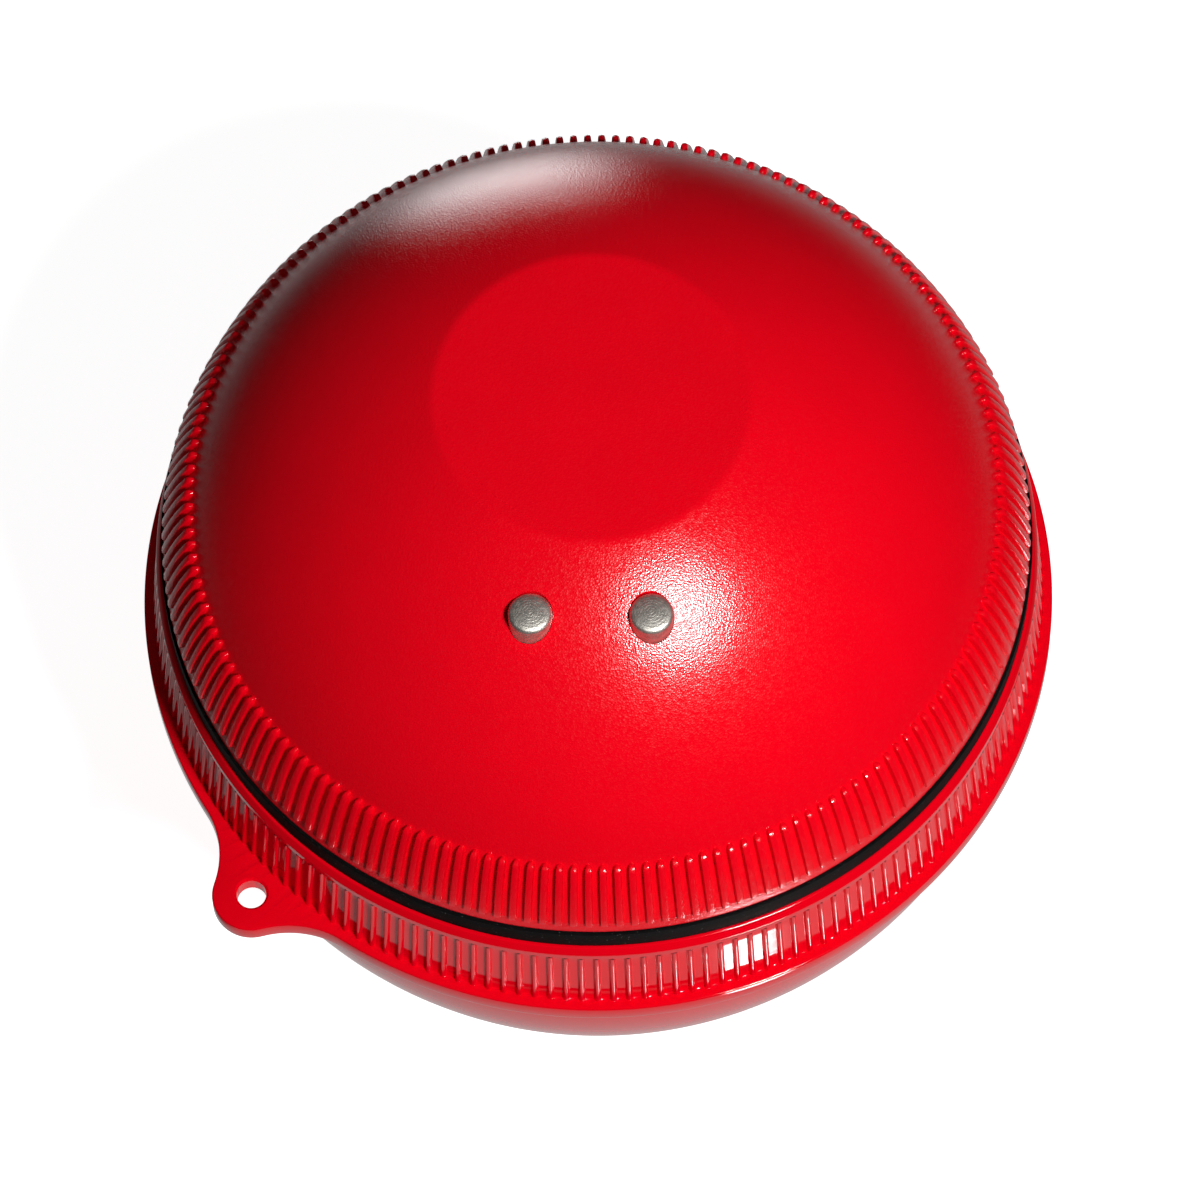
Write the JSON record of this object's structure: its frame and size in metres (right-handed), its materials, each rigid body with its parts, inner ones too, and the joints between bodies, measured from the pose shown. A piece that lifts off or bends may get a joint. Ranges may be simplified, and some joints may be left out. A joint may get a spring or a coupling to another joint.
{
  "type": "waterproof metronome",
  "caption": "Ball-shaped waterproof metronome: ribbed screw-together halves, rubber seal, lanyard eye, two metal touch contacts, sounder under the flat top.",
  "frame": {"origin": "centre of the flat foot under the lower half", "axes": "+Z along the case's axis, up through the facet on the dome; -Y towards the two touch contacts; +X to the right as the contacts are faced"},
  "size_m": [0.042, 0.042, 0.0398],
  "materials": {
    "red_dome": "fine spark-eroded satin",
    "red_bowl": "polished gloss",
    "black_rubber": "matte with a little dust",
    "nickel": "turned nickel plate",
    "o_ring_rubber": "matte",
    "white_plastic": "moulded satin",
    "screw_steel": "zinc plate",
    "gilt_spring": "bright gilt",
    "clear_glue": "set glue",
    "sounder_brass": "rolled brass",
    "sounder_ceramic": "fired ceramic",
    "electrode_silver": "screened silver",
    "red_wire": "wire sleeve",
    "black_wire": "wire sleeve",
    "solder": "bright solder",
    "green_board": "solder mask",
    "black_epoxy": "moulded epoxy",
    "crystal_can": "drawn can",
    "tan_ceramic": "fired ceramic",
    "black_chip": "glazed chip",
    "ferrite": "pressed ferrite",
    "copper": "enamelled copper wire",
    "holder_plastic": "moulded satin",
    "clip_steel": "spring steel",
    "cell_steel": "nickel-plated can",
    "gasket_plastic": "moulded"
  },
  "bodies": {
    "lower_half": {"bottom_shell": "red_bowl"},
    "seal": {"seal_ring": "black_rubber"},
    "upper_half": {"top_shell": "red_dome", "contact_stud_left": "nickel", "contact_stud_right": "nickel", "stud_o_rings": "o_ring_rubber", "stud_clamp": "white_plastic", "clamp_screw": "screw_steel", "stud_leaf_springs": "gilt_spring", "sounder_glue": "clear_glue", "sounder_plate": "sounder_brass", "sounder_ceramic": "sounder_ceramic", "sounder_electrode": "electrode_silver", "sounder_wire_red": "red_wire", "sounder_wire_black": "black_wire", "wire_solder_joints": "solder", "circuit_board": "green_board", "board_screws": "screw_steel", "microcontroller": "black_epoxy", "microcontroller_leads": "solder", "watch_crystal": "crystal_can", "ceramic_capacitors": "tan_ceramic", "chip_resistors": "black_chip", "driver_transistor": "black_epoxy", "inductor_core": "ferrite", "inductor_winding": "copper", "battery_holder": "holder_plastic", "battery_clip": "clip_steel", "battery_contact": "gilt_spring", "coin_cell_can": "cell_steel", "coin_cell_cap": "cell_steel", "coin_cell_gasket": "gasket_plastic"}
  },
  "joints": [
    {"name": "case_rise", "type": "slide", "parent": "lower_half", "child": "seal", "axis": [0, 0, 1], "range_m": [0, 0.005]},
    {"name": "case_unscrew", "type": "hinge", "parent": "seal", "child": "upper_half", "pos_m": [0, 0, 0.02472], "axis": [0, 0, 1], "range_deg": [0, 900]}
  ],
  "couplings": [
    {"joint": "case_rise", "follows": "case_unscrew", "m_per_rad": 0.00031831}
  ]
}
